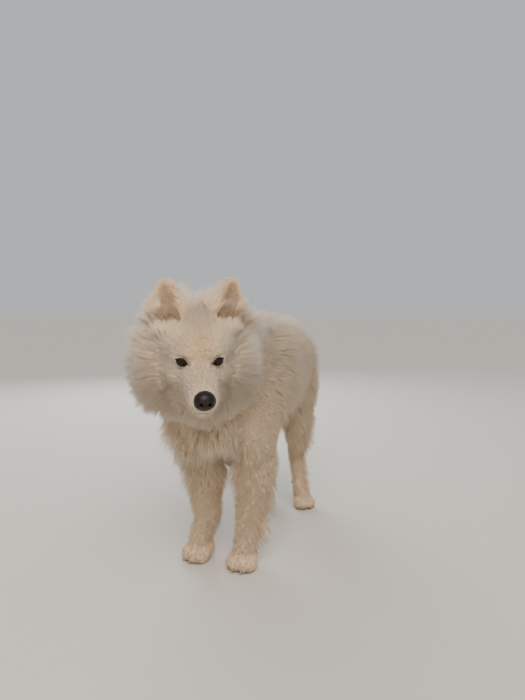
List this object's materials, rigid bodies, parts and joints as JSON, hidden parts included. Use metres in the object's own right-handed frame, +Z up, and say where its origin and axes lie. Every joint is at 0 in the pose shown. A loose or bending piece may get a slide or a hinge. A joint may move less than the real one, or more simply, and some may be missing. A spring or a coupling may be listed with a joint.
{
  "type": "samoyed",
  "caption": "Life-size standing samoyed dog with head low and turned, thick coat in locks, ruff and hanging tail.",
  "frame": {"origin": "middle of the foot of the bounding box, on the floor", "axes": "+X to the dog's left, -Y the way its body faces, +Z up"},
  "size_m": [0.39, 0.9082, 0.7166],
  "materials": {
    "coat": "matte",
    "ear_fur": "matte",
    "paw_fur": "matte",
    "nose_leather": "satin",
    "eye": "gloss"
  },
  "bodies": {
    "root": {"ear_left": "ear_fur", "ear_right": "ear_fur", "eye_left": "eye", "eye_right": "eye", "front_leg_left": "coat", "front_leg_right": "coat", "front_paw_left": "paw_fur", "front_paw_right": "paw_fur", "head": "coat", "hind_paw_left": "paw_fur", "hind_paw_right": "paw_fur", "hind_shank_left": "coat", "hind_shank_right": "coat", "hind_thigh_left": "coat", "hind_thigh_right": "coat", "neck": "coat", "nose": "nose_leather", "tail": "coat", "torso": "coat"}
  },
  "joints": []
}
